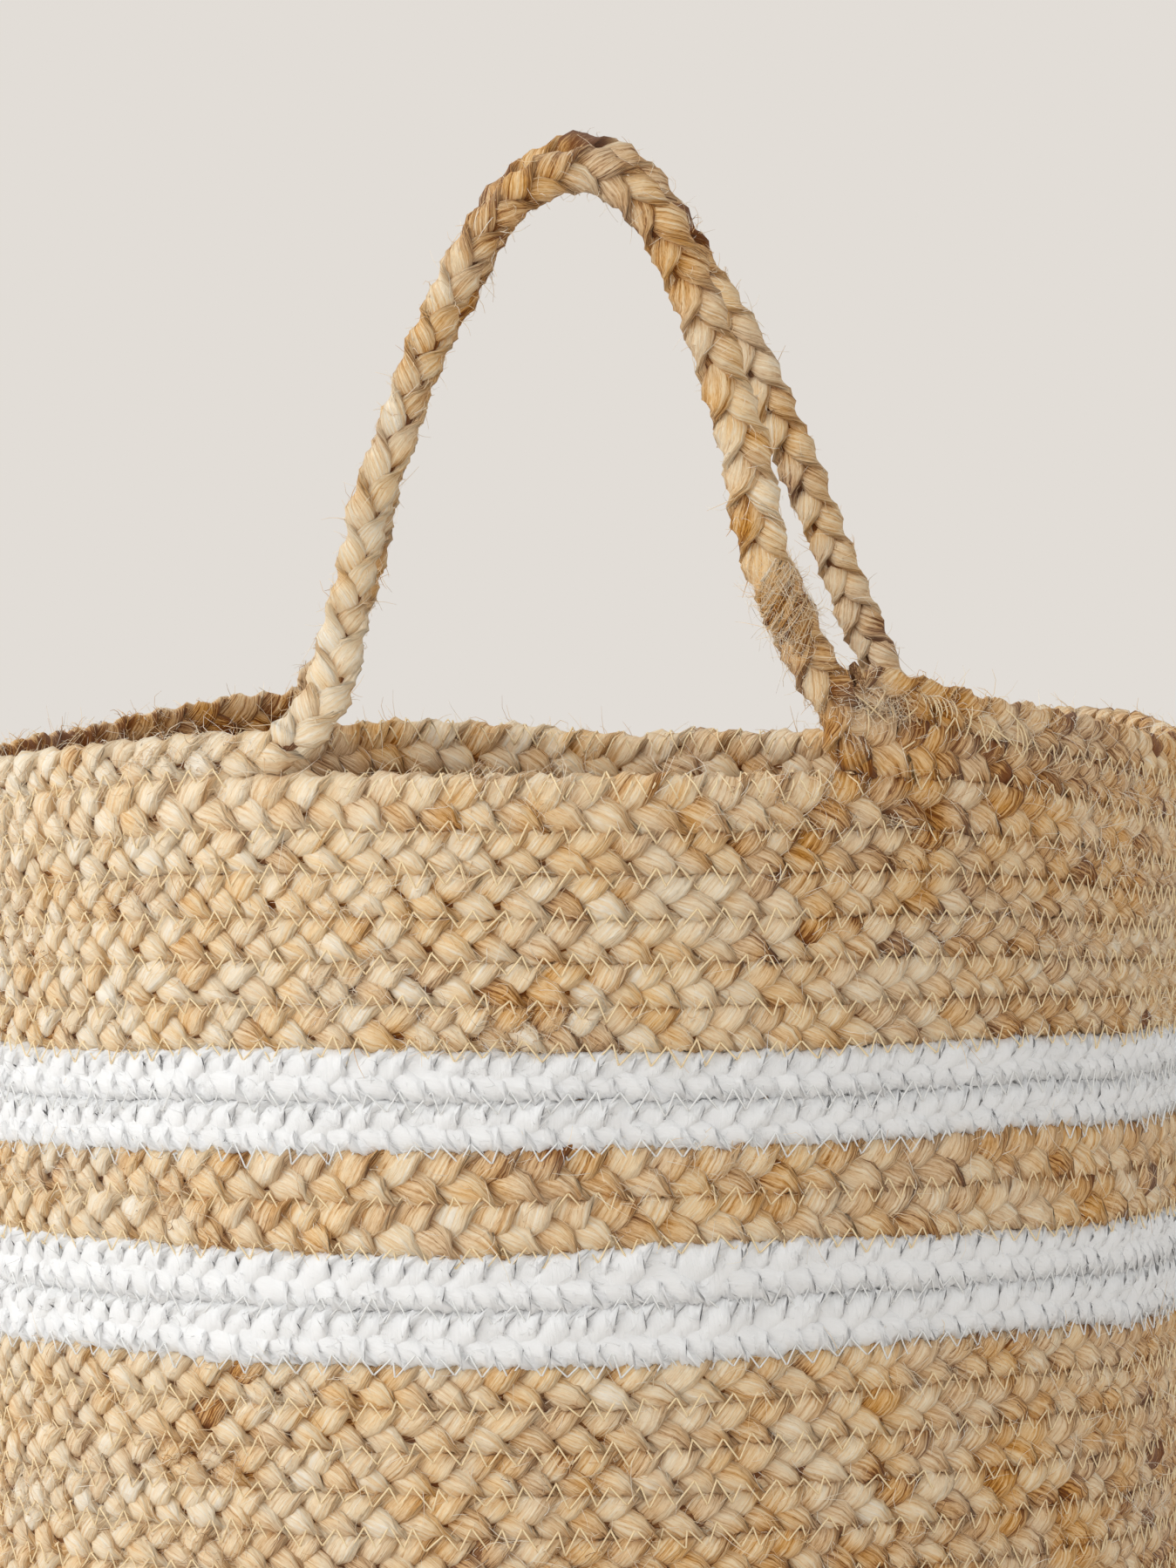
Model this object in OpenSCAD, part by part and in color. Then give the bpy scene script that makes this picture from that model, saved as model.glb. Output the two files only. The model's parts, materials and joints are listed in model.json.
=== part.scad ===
// Round storage basket wound from flat three-strand braid, set on edge and sewn
// course on course, with two white bands and two upright braid handles.
// Z is up, the front handle is at -Y, and the origin is the centre of the base.

/* [Wall] */
// Radius to the middle of the wall at its fullest course
wall_r = 196; // [170:1:230]
// How far the wall draws in towards its lowest course
draw_in = 4; // [0:0.5:8]
// Thickness of a braid course at the crown of its faces
braid_t = 8; // [7:0.5:10]
// Thickness of a braid course at its seams
seam_t = 5.2; // [4:0.1:6]

/* [Course heights] */
// Height of each jute course below the white bands
lower_jute_h = 13.2; // [11:0.1:15]
// Height of each course of the lower white band
lower_white_h = 16.4; // [13:0.1:18]
// Height of each jute course between the white bands
mid_jute_h = 15.4; // [13:0.1:18]
// Height of each course of the upper white band
upper_white_h = 14.5; // [13:0.1:18]
// Height of each jute course above the white bands
upper_jute_h = 13; // [11:0.1:15]
// Height of the course along the hand gaps, which nothing presses on
gap_rim_h = 15.5; // [13:0.1:17]
// Height of each extra course along the sides
side_course_h = 12.5; // [10:0.1:12.8]

/* [Sag] */
// Sag of the rim midway along the left side, between the handles
left_sag = 18; // [0:0.5:24]
// Sag of the rim midway along the right side, between the handles
right_sag = 21; // [0:0.5:24]

/* [Base] */
// Radius of the wound start of the spiral
base_centre_r = 10; // [8:0.5:14]
// Depth pressed flat on both faces of a base round
base_flat = 0.3; // [0.2:0.05:0.6]

/* [Handles] */
// Width of the handle braid
handle_w = 14.5; // [13:0.5:16]
// Height of the line that the handles flex about, above the rim of the gap
flex_h = 18; // [17:0.5:22]
// Turn of the front handle round the basket, in degrees
front_turn = 2; // [-6:0.5:6]
// Turn of the rear handle round the basket, in degrees
rear_turn = 175.3; // [172:0.1:188]
// Room between a handle foot and the turn of braid below it
flex_gap = 0.6; // [0.4:0.1:1]
// Distance from the middle of a handle foot to the cut end of the braid beside it
foot_room = 11; // [11:0.5:14]
// Gap between a turned-up end of braid and the side course that it comes from
turn_gap = 0.4; // [0.3:0.1:1]

/* [Threads] */
// Radius of the sewing thread
thread_r = 0.5; // [0.3:0.05:0.5]
// Spacing of the overcast loops along a gap rim
overcast_pitch = 7.5; // [6:0.5:12]
// Tacks over the cut end of the braid
end_tacks = 6; // [3:1:8]

/* [Hidden] */
$fn = 64;
JUTE = "#c9a36b";
PALE_JUTE = "#d3b27f";
COTTON = "#f1f0ed";
CREAM = "#e3cfa4";
WHITE = "#ffffff";

// Numbers of courses name the nodes, so they stay fixed
BASE_ROUNDS = 13;
LOWER_JUTE = 13;
LOWER_WHITE = 2;
MID_JUTE = 2;
UPPER_WHITE = 2;
UPPER_JUTE = 5;

// Each handle's centreline passes through these points, from its left foot to its
// right as seen from outside, measured across and up from midway between its feet
front_arch = [
    [-78, 0], [-73, 24], [-66, 50], [-57, 78], [-46, 110], [-31, 142], [-16, 158],
    [0, 163], [18, 156], [33, 133], [43, 102], [51, 68], [61, 37], [73, 10], [78, 0],
];
rear_arch = [
    [-98, 0], [-93, 12], [-79, 52], [-64, 91], [-52, 118], [-40, 142], [-24, 164],
    [-5, 177], [15, 172], [36, 142], [54, 102], [67, 62], [76, 32], [91, 9], [98, 0],
];
front_half_span = front_arch[14].x;
rear_half_span = rear_arch[14].x;

// Height of every full course of the wall from the bottom up
heights = concat(
    [for (i = [1:LOWER_JUTE]) lower_jute_h],
    [for (i = [1:LOWER_WHITE]) lower_white_h],
    [for (i = [1:MID_JUTE]) mid_jute_h],
    [for (i = [1:UPPER_WHITE]) upper_white_h],
    [for (i = [1:UPPER_JUTE]) upper_jute_h],
    [gap_rim_h]
);
COURSES = len(heights);

// Number of the first course of each zone, counted from 0
first_lower_white = LOWER_JUTE;
first_mid_jute = first_lower_white + LOWER_WHITE;
first_upper_white = first_mid_jute + MID_JUTE;
first_upper_jute = first_upper_white + UPPER_WHITE;
gap_course = COURSES - 1;

// The corner course leans at 45 degrees from the flat base up to the wall
corner_run = lower_jute_h * cos(45);
base_z = braid_t / 2 - base_flat;
wall_z0 = base_z + corner_run;
base_r = wall_r - draw_in - corner_run;
round_w = (base_r - base_centre_r) / BASE_ROUNDS;

function stacked(n) = n == 0 ? 0 : heights[n - 1] + stacked(n - 1);
function course_z(n) = wall_z0 + stacked(n);
gap_z = course_z(COURSES);
flex_z = gap_z + flex_h;

// Radius of a course: the wall draws in below the white bands
function course_r(n) =
    let (short_of_full = max(0, 1 - stacked(n) / stacked(first_lower_white)))
    wall_r - draw_in * short_of_full * short_of_full;

// Radius of the arc that crowns each face of a course of height h
crown_rise = (braid_t - seam_t) / 2;
function crown_r(h) = (h * h / 4 + crown_rise * crown_rise) / (2 * crown_rise);

// Distance from the middle of a course to a thread that lies in its seam groove
thread_room = 0.05;
function thread_out(h) = seam_t / 2 + thread_r / cos(asin(h / 2 / crown_r(h))) + thread_room;

// Angles of the handle feet round the basket, anticlockwise from +X
function foot_angle(half_span) = asin(half_span / wall_r);
function chord_y(half_span) = wall_r * cos(foot_angle(half_span));
front_left_a = 270 + front_turn - foot_angle(front_half_span);
front_right_a = front_turn - 90 + foot_angle(front_half_span);
rear_right_a = rear_turn - 90 - foot_angle(rear_half_span);
rear_left_a = rear_turn - 90 + foot_angle(rear_half_span);
function degrees_round(length) = length / wall_r * 180 / PI;
room_a = degrees_round(foot_room);

// Turn from the middle of a foot to the side course beside it, clear of the corner
// of the turned-up end, which faces along the chord between the feet
function turn_a(half_span) =
    let (a = foot_angle(half_span))
    degrees_round(handle_w / 2 * cos(a) + braid_t / 2 * sin(a) + turn_gap);

// The wall above the white bands sags between the handles. A seam is counted from
// the top of the upper white band, and every seam above the gap's rim sags alike.
// The sag runs straight between stations, so that each course lies on the next.
STATION_A = 7.5;
SEAMS_TO_GAP = UPPER_JUTE + 1;
function side_sag(a, from, to, depth) =
    a <= from || a >= to ? 0 : depth * pow(sin(180 * (a - from) / (to - from)), 2);
function smooth_sag(a) =
    side_sag(a, rear_left_a, front_left_a, left_sag)
    + side_sag(a > 180 ? a - 360 : a, front_right_a, rear_right_a, right_sag);
function rim_sag(a) =
    let (low = floor(a / STATION_A), share = a / STATION_A - low)
    (1 - share) * smooth_sag(low * STATION_A) + share * smooth_sag((low + 1) * STATION_A);
function seam_z(seam, a) =
    course_z(first_upper_jute + min(seam, SEAMS_TO_GAP))
    + max(0, seam - SEAMS_TO_GAP) * side_course_h
    - rim_sag(a) * min(1, seam / SEAMS_TO_GAP);

function two_digits(i) = i < 10 ? str("0", i) : str(i);
function base_name(i) = str("base_round_", two_digits(i));
function lower_name(i) = str("lower_jute_course_", two_digits(i));
function lower_white_name(i) = str("lower_white_course_", i);
function mid_name(i) = str("middle_jute_course_", i);
function upper_white_name(i) = str("upper_white_course_", i);
function upper_name(i) = str("upper_jute_course_", i);

// Braid on edge, of height h: crowned faces, and flat seams above and below
module edge_section(h, reach = 0) {
    intersection() {
        translate([crown_r(h) - braid_t / 2, 0]) circle(crown_r(h));
        translate([braid_t / 2 - crown_r(h), 0]) circle(crown_r(h));
        square([2 * braid_t, h + reach], center = true);
    }
}

// Braid lying flat, of width w, pressed flat on both faces
module flat_section(w) {
    intersection() {
        rotate(90) edge_section(w);
        square([2 * w, 2 * base_z], center = true);
    }
}

// Level course of the wall, counted from 0 at the bottom
module wall_course(n) {
    translate([0, 0, course_z(n) + heights[n] / 2])
        rotate_extrude()
            translate([course_r(n), 0]) edge_section(heights[n]);
}

module base_centre() {
    color(JUTE)
        translate([0, 0, base_z])
            rotate_extrude()
                intersection() {
                    translate([0, -braid_t]) square([base_centre_r, 2 * braid_t]);
                    flat_section(2 * base_centre_r);
                }
}

module base_round(i) {
    color(i % 2 == 0 ? JUTE : PALE_JUTE)
        translate([0, 0, base_z])
            rotate_extrude()
                translate([base_centre_r + (i - 0.5) * round_w, 0]) flat_section(round_w);
}

// The corner is cut to meet the base's upright edge and the wall's level one
module corner_course() {
    color(JUTE)
        rotate_extrude()
            intersection() {
                translate([base_r + corner_run / 2, base_z + corner_run / 2])
                    rotate(-45) edge_section(lower_jute_h, seam_t);
                translate([base_r, 0]) square([2 * corner_run, wall_z0]);
            }
}

module lower_jute_course(i) {
    color(i % 2 == 0 ? JUTE : PALE_JUTE) wall_course(i - 1);
}

module lower_white_course(i) {
    color(COTTON) wall_course(first_lower_white + i - 1);
}

module middle_jute_course(i) {
    color(i % 2 == 0 ? JUTE : PALE_JUTE) wall_course(first_mid_jute + i - 1);
}

module upper_white_course(i) {
    color(COTTON) wall_course(first_upper_white + i - 1);
}

// Outline of a braid on edge, from its bottom seam round: each point is its place
// through the thickness and its share of the height
function crown_x(share) =
    let (rise = 2 * share - 1) seam_t / 2 + crown_rise * (1 - rise * rise);
OUTLINE_STEPS = 4;
course_outline = concat(
    [for (k = [0:OUTLINE_STEPS]) [-crown_x(k / OUTLINE_STEPS), k / OUTLINE_STEPS]],
    [for (k = [OUTLINE_STEPS:-1:0]) [crown_x(k / OUTLINE_STEPS), k / OUTLINE_STEPS]]
);

// Angles of the stations between two angles; a full turn leaves out the last
function is_turn(from, to) = to - from > 359.9;
function station_angles(from, to) =
    let (low = floor(from / STATION_A) + 1, high = ceil(to / STATION_A) - 1)
    concat([from], [for (i = [low:high]) i * STATION_A], is_turn(from, to) ? [] : [to]);

// The flats between stations bring the inner face of the wall in by this much
flat_depth = wall_r * (1 - cos(STATION_A / 2));

// Solid through rings of points, one ring a station; a closed loop has no end caps
module skin(rings, loop) {
    n = len(rings[0]);
    count = len(rings);
    sides = [
        for (i = [0:loop ? count - 1 : count - 2], k = [0:n - 1])
            let (j = (i + 1) % count, m = (k + 1) % n)
            [i * n + k, j * n + k, j * n + m, i * n + m]
    ];
    caps = loop ? [] : [
        [for (k = [0:n - 1]) k],
        [for (k = [n - 1:-1:0]) (count - 1) * n + k],
    ];
    polyhedron([for (ring = rings, p = ring) p], concat(sides, caps), convexity = 6);
}

// Course that lies on the given seam and sags with it, just short of the next course
course_gap = 0.1;
module sagging_course(seam, from = 0, to = 360) {
    rings = [
        for (a = station_angles(from, to))
            let (low = seam_z(seam, a), high = seam_z(seam + 1, a) - course_gap)
            [for (q = course_outline)
                [(wall_r + q.x) * cos(a), (wall_r + q.x) * sin(a), low + q.y * (high - low)]]
    ];
    skin(rings, is_turn(from, to));
}

module upper_jute_course(i) {
    color(i % 2 == 0 ? JUTE : PALE_JUTE) sagging_course(i - 1);
}

module gap_rim_course() {
    color(JUTE) sagging_course(SEAMS_TO_GAP - 1);
}

// Frame of a handle: x runs along the line that it flexes about, -y is outwards
module handle_frame(turn, half_span, z) {
    rotate([0, 0, turn]) translate([0, -chord_y(half_span), z]) children();
}

// The braid turned up under both feet of a handle, each with a round top
ROUND_TOP_STEPS = 6;
module turned_ends(turn, half_span) {
    post_h = flex_h - braid_t / 2 - flex_gap;
    profile = concat(
        [[-braid_t / 2, 0], [braid_t / 2, 0]],
        [for (k = [0:ROUND_TOP_STEPS])
            let (a = 180 * k / ROUND_TOP_STEPS)
            [braid_t / 2 * cos(a), post_h - braid_t / 2 + braid_t / 2 * sin(a)]]
    );
    handle_frame(turn, half_span, gap_z)
        for (side = [-1, 1])
            translate([side * half_span - handle_w / 2, 0, 0])
                rotate([90, 0, 90]) linear_extrude(handle_w) polygon(profile);
}

module front_turned_ends() {
    color(PALE_JUTE) turned_ends(front_turn, front_half_span);
}

module rear_turned_ends() {
    color(JUTE) turned_ends(rear_turn, rear_half_span);
}

module left_side_course() {
    color(PALE_JUTE)
        sagging_course(SEAMS_TO_GAP, rear_left_a + turn_a(rear_half_span),
            front_left_a - turn_a(front_half_span));
}

module right_side_course() {
    color(PALE_JUTE)
        sagging_course(SEAMS_TO_GAP, front_right_a + turn_a(front_half_span),
            rear_right_a - turn_a(rear_half_span));
}

// The last course, which ends cut off beside the right foot of the front handle
module right_top_course() {
    color(JUTE)
        sagging_course(SEAMS_TO_GAP + 1, front_right_a + room_a, rear_right_a - room_a);
}

// Point at t of the way from b to c, on the smooth curve through a, b, c and d
function curve_point(a, b, c, d, t) =
    b + t * (c - a) / 2
    + t * t * (2 * a - 5 * b + 4 * c - d) / 2
    + t * t * t * (3 * b - a - 3 * c + d) / 2;

// The arch's own points with others between them
BETWEEN = 3;
function smooth(pts) =
    let (last = len(pts) - 1)
    concat(
        [for (i = [0:last - 1], k = [0:BETWEEN - 1])
            curve_point(pts[max(i - 1, 0)], pts[i], pts[i + 1], pts[min(i + 2, last)],
                k / BETWEEN)],
        [pts[last]]
    );

// Outline of the handle braid: x is across its width and y through its thickness
ARC_STEPS = 5;
handle_outline = [
    for (side = [1, -1], k = [0:ARC_STEPS])
        let (a = -90 * side + side * 180 * k / ARC_STEPS)
        side > 0
            ? [(handle_w - braid_t) / 2 + braid_t / 2 * cos(a), braid_t / 2 * sin(a)]
            : [(braid_t - handle_w) / 2 - braid_t / 2 * cos(a), braid_t / 2 * sin(a)]
];

// Stations of a handle: [place across and up, direction, share of the thickness].
// Each foot is rounded about the line that the handle flexes about.
foot_steps = [75, 50, 25];
function unit(v) = v / norm(v);
function stations(path) =
    let (last = len(path) - 1, foot = path[0], far_foot = path[last])
    concat(
        [for (a = foot_steps) [foot - [0, braid_t / 2 * sin(a)], [0, 1], cos(a)]],
        [[foot, [0, 1], 1]],
        [for (i = [1:last - 1]) [path[i], unit(path[i + 1] - path[i - 1]), 1]],
        [[far_foot, [0, -1], 1]],
        [for (i = [len(foot_steps) - 1:-1:0])
            let (a = foot_steps[i]) [far_foot - [0, braid_t / 2 * sin(a)], [0, -1], cos(a)]]
    );

module swept_handle(arch) {
    rings = [
        for (s = stations(smooth(arch)))
            let (across = [s[1].y, -s[1].x])
            [for (q = handle_outline)
                let (p = s[0] + q.x * across) [p.x, q.y * s[2], p.y]]
    ];
    skin(rings, false);
}

module front_handle() {
    color(PALE_JUTE)
        handle_frame(front_turn, front_half_span, flex_z) swept_handle(front_arch);
}

module rear_handle() {
    color(JUTE)
        handle_frame(rear_turn, rear_half_span, flex_z) swept_handle(rear_arch);
}

// A thread round the basket at radius r and height z
THREAD_FLATS = 6;
module thread_ring(r, z) {
    translate([0, 0, z])
        rotate_extrude()
            translate([r, 0]) circle(thread_r, $fn = THREAD_FLATS);
}

// The seam between courses n - 1 and n, sewn outside and inside. The inner thread is
// set in by a depth where the course above is made of flats.
module seam_thread(n, depth = 0) {
    inner_r = min(course_r(n - 1), course_r(n)) - thread_out(heights[n]) - depth;
    outer_r = max(course_r(n - 1), course_r(n)) + thread_out(heights[n]);
    for (r = [inner_r, outer_r]) thread_ring(r, course_z(n));
}

// A thread in a seam that sags, on the outside or the inside of the wall, with more
// room where the sag squeezes the courses
sag_room = 0.15;
module sagging_thread(seam, side, from = 0, to = 360) {
    r = wall_r + side * (thread_out(upper_jute_h) + sag_room);
    rings = [
        for (a = station_angles(from, to))
            [for (k = [0:3])
                let (out = r + thread_r * cos(90 * k))
                [out * cos(a), out * sin(a), seam_z(seam, a) - thread_r * sin(90 * k)]]
    ];
    skin(rings, is_turn(from, to));
}

// Threads in the seams below courses first to last
module zone_thread(first, last) {
    for (n = [first:last]) seam_thread(n);
}

module base_thread() {
    color(CREAM)
        for (i = [0:BASE_ROUNDS - 1], side = [-1, 1])
            thread_ring(base_centre_r + i * round_w, base_z + side * thread_out(round_w));
}

module lower_jute_thread() {
    color(CREAM) zone_thread(1, first_lower_white - 1);
}

module lower_white_thread() {
    color(WHITE) zone_thread(first_lower_white, first_mid_jute - 1);
}

module middle_jute_thread() {
    color(CREAM) zone_thread(first_mid_jute, first_upper_white - 1);
}

module upper_white_thread() {
    color(WHITE) zone_thread(first_upper_white, first_upper_jute - 1);
}

module upper_jute_thread() {
    color(CREAM) seam_thread(first_upper_jute, flat_depth);
    color(CREAM)
        for (side = [-1, 1]) {
            for (seam = [1:UPPER_JUTE]) sagging_thread(seam, side);
            sagging_thread(SEAMS_TO_GAP, side, rear_left_a + room_a, front_left_a - room_a);
            sagging_thread(SEAMS_TO_GAP, side, front_right_a + room_a, rear_right_a - room_a);
            sagging_thread(SEAMS_TO_GAP + 1, side, front_right_a + 2 * room_a,
                rear_right_a - 2 * room_a);
        }
}

// A stitch over the rim at an angle round the basket: top is its highest course edge
// and drop is how far its legs reach down both faces of the wall
module rim_stitch(angle, top, drop) {
    out = braid_t / 2 + thread_r + thread_room;
    in = -out - flat_depth;
    bar_z = top + thread_r + thread_room;
    rotate([0, 0, angle]) translate([wall_r, 0, 0]) {
        for (x = [in, out])
            translate([x, 0, top - drop])
                cylinder(h = bar_z - top + drop, r = thread_r, $fn = 24);
        for (x = [in, out])
            translate([x, 0, bar_z]) sphere(thread_r, $fn = 24);
        translate([in, 0, bar_z])
            rotate([0, 90, 0]) cylinder(h = out - in, r = thread_r, $fn = 24);
    }
}

overcast_drop = 7;
module overcast(from, to) {
    count = floor((to - from) * PI / 180 * wall_r / overcast_pitch);
    for (i = [0:count])
        rim_stitch(from + (to - from) * i / count, gap_z, overcast_drop);
}

module front_overcast_thread() {
    color(CREAM) overcast(front_left_a + room_a, front_right_a + 360 - room_a);
}

module rear_overcast_thread() {
    color(CREAM) overcast(rear_right_a + room_a, rear_left_a - room_a);
}

tack_step_a = 1.3;
module end_tack_thread() {
    color(CREAM)
        for (i = [1:end_tacks])
            rim_stitch(front_right_a + room_a + i * tack_step_a,
                gap_z + 2 * side_course_h, 2 * side_course_h + overcast_drop);
}

base_centre();
for (i = [1:BASE_ROUNDS])
    base_round(i);
corner_course();
for (i = [1:LOWER_JUTE])
    lower_jute_course(i);
for (i = [1:LOWER_WHITE])
    lower_white_course(i);
for (i = [1:MID_JUTE])
    middle_jute_course(i);
for (i = [1:UPPER_WHITE])
    upper_white_course(i);
for (i = [1:UPPER_JUTE])
    upper_jute_course(i);
gap_rim_course();
left_side_course();
right_side_course();
right_top_course();
front_turned_ends();
rear_turned_ends();
front_handle();
rear_handle();
base_thread();
lower_jute_thread();
lower_white_thread();
middle_jute_thread();
upper_white_thread();
upper_jute_thread();
front_overcast_thread();
rear_overcast_thread();
end_tack_thread();
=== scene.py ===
"""A round storage basket of three-strand jute braid, with two white cotton bands and two
upright braid handles, dressed on its CAD frame. It is one long braid: wound flat for the
base, then set on edge and wound up the wall, clockwise as seen from above."""
import json

import bpy
import numpy as np
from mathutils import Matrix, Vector


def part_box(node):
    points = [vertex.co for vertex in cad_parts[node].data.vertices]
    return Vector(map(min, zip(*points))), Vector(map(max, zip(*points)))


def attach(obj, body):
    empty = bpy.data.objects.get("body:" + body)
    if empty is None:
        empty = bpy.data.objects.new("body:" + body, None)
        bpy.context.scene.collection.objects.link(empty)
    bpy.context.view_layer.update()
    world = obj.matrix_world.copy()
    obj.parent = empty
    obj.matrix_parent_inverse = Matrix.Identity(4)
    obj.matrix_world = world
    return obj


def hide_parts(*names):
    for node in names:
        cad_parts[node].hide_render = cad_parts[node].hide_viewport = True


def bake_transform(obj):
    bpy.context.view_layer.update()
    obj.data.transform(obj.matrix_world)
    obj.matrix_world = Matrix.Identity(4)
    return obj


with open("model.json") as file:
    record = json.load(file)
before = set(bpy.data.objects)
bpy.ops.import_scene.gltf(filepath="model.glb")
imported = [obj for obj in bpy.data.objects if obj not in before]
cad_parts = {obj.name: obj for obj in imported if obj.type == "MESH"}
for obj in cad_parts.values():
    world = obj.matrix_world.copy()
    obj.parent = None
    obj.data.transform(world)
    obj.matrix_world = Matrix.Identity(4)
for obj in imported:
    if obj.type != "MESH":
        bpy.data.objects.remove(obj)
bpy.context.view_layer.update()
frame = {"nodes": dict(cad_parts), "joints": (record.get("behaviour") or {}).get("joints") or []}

# ---------------------------------------------------------------------------------------
# Base and lower wall. Three strands of raw jute roving are braided flat and wound in a
# spiral from the middle of the base, lying flat. At the edge the braid leans over at 45
# degrees, then stands on edge and climbs the wall, one course on top of another.

MM = 0.001
UP = np.array([0.0, 0.0, 1.0])
BODY = "basket"
STEP_ANGLE = 38.0  # where each course climbs onto the next, just past the rear right foot
STEP_HALF = 11.0   # degrees on each side of it that the climb takes
BRAID_HALF_T = 4.0 * MM

base_nodes = [f"base_round_{i:02d}" for i in range(1, 14)]
wall_nodes = (
    ["corner_course"]
    + [f"lower_jute_course_{i:02d}" for i in range(1, 14)]
    + ["lower_white_course_1", "lower_white_course_2"]
    + ["middle_jute_course_1", "middle_jute_course_2"]
    + ["upper_white_course_1", "upper_white_course_2"]
    + [f"upper_jute_course_{i}" for i in range(1, 6)]
    + ["gap_rim_course", "right_side_course"]
)
course_nodes = base_nodes + wall_nodes
# Numbers of the courses, from the middle of the base, at which each kind starts.
CORNER, LOWER_WHITE, MIDDLE_JUTE, UPPER_WHITE, UPPER_JUTE, GAP_RIM, SIDES = (
    course_nodes.index(name) for name in (
        "corner_course", "lower_white_course_1", "middle_jute_course_1",
        "upper_white_course_1", "upper_jute_course_1", "gap_rim_course",
        "right_side_course"))


def node_points(name):
    mesh = frame["nodes"][name].data
    co = np.empty(len(mesh.vertices) * 3)
    mesh.vertices.foreach_get("co", co)
    return co.reshape(-1, 3)


def edge_lines(name):
    """Angles round the basket, and the height of a course's two seams at each."""
    p = node_points(name)
    angle = np.round(np.degrees(np.arctan2(p[:, 1], p[:, 0])), 1)
    stations = np.unique(angle)
    low = np.array([p[angle == a, 2].min() for a in stations])
    high = np.array([p[angle == a, 2].max() for a in stations])
    return stations, low, high


def course_facts():
    """For each course: its radius, tilt from flat to upright and half width, and its
    height, or where it sags the heights of its two seams. The side course lies on the
    rim course, so it has the same radius."""
    facts = []
    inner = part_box("base_centre")[1].x
    base_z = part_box("base_round_01")[1].z / 2
    for name in base_nodes:
        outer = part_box(name)[1].x
        facts.append(((inner + outer) / 2, 0.0, (outer - inner) / 2, base_z))
        inner = outer
    corner_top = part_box("corner_course")[1].z
    low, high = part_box("lower_jute_course_01")
    facts.append((inner + (corner_top - base_z) / 2, np.pi / 4, (high.z - low.z) / 2,
                  (base_z + corner_top) / 2))
    for name in wall_nodes[1:]:
        low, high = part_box(name)
        radius = high.x - BRAID_HALF_T if name != "right_side_course" else facts[-1][0]
        sags = name.startswith(("upper_jute", "gap", "right"))
        height = edge_lines(name) if sags else (low.z + high.z) / 2
        facts.append((radius, np.pi / 2, (high.z - low.z) / 2, height))
    return facts


# The courses are sewn by hand and eye, so each seam wavers by a few millimetres: how far
# up it lies at angles round the basket, for some seams; those between lie between. A seam
# has the number of the course above it, and below the first the seams run true.
FIRST_WAVER = 21
WAVER = {
    21: [(0, 0)],
    27: [(-150, -2), (-134, -1.1), (-116, -1.9), (-100, -1.9), (-82, -1), (-74, 0.3),
         (-66, 2.1), (-51, 3.1), (-36, 2.6), (-28, 0), (60, 1.2), (130, -1)],
    29: [(-150, -1.3), (-120, -1), (-100, -2), (-90, -0.5), (-82, 1.9), (-66, 2.6), (-51, 1.4),
         (-28, 0.3), (0, -1), (80, -2.4), (140, -0.4)],
    31: [(-160, -5.5), (-142, -5.2), (-124, -3.7), (-108, -2.6), (-90, -0.5), (-74, -0.5),
         (-58, 0), (-44, 1), (-28, -1.5), (0, -2), (90, 0), (150, -3)],
    33: [(-160, -5), (-142, -4.7), (-132, -3.5), (-124, -1.6), (-100, 0), (-82, -0.7),
         (-66, -0.3), (-44, 0.2), (-28, -2.4), (0, -3), (90, -1), (150, -3.5)],
    39: [(-180, 0), (55, 0), (70, -1.5), (76, -0.8), (81, -2.6), (86, -2), (91, 0), (96, 1),
         (101, 2), (107, 2.4), (115, 0), (139, -2)],
    41: [(-180, 0), (-40, 0), (-15, 1), (0, 3), (15, 0.5), (22, -4), (30, -8.5), (37, -8),
         (44, -7), (50, -3), (55, 0), (115, 0), (121, 1.2), (129, -1.8), (139, -4),
         (152, -1.7)],
}


def waver(seam, angle):
    """How far up a seam lies out of true, at angles round the basket."""
    if seam <= FIRST_WAVER:
        return 0.0 * angle
    low = max(n for n in WAVER if n <= seam)
    high = min([n for n in WAVER if n >= seam], default=max(WAVER))
    share = (seam - low) / (high - low) if high > low else 0.0
    at = [np.interp(angle, *np.transpose(WAVER[n]), period=360) for n in (low, high)]
    return (at[0] * (1 - share) + at[1] * share) * MM


facts = course_facts()
wall_r = facts[GAP_RIM][0]


def course_at(index, angle):
    """Radius, height, tilt and half width of one whole course at angles round the basket."""
    radius, tilt, half, height = facts[index]
    if isinstance(height, tuple):
        stations, low, high = height
        wrapped = (angle + 180.0) % 360.0 - 180.0
        period = 360.0 if index < SIDES else None   # a side course isn't a whole ring
        low = np.interp(wrapped, stations, low, period=period)
        high = np.interp(wrapped, stations, high, period=period)
        z = (low + high) / 2
        half = (high - low) / 2
    else:
        z = np.full(len(angle), height)
        half = np.full(len(angle), half)
    if index > CORNER:
        low, high = z - half + waver(index, angle), z + half + waver(index + 1, angle)
        z, half = (low + high) / 2, (high - low) / 2
    return np.stack([np.full(len(angle), radius), z, np.full(len(angle), tilt), half])


def smoothstep(x):
    x = np.clip(x, 0.0, 1.0)
    return x * x * (3 - 2 * x)


def outwards(angle):
    """Level directions away from the basket's middle, at angles in radians."""
    return np.stack([np.cos(angle), np.sin(angle), 0 * angle], -1)


FINE = 0.5   # degrees from one point of a guide line to the next


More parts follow.
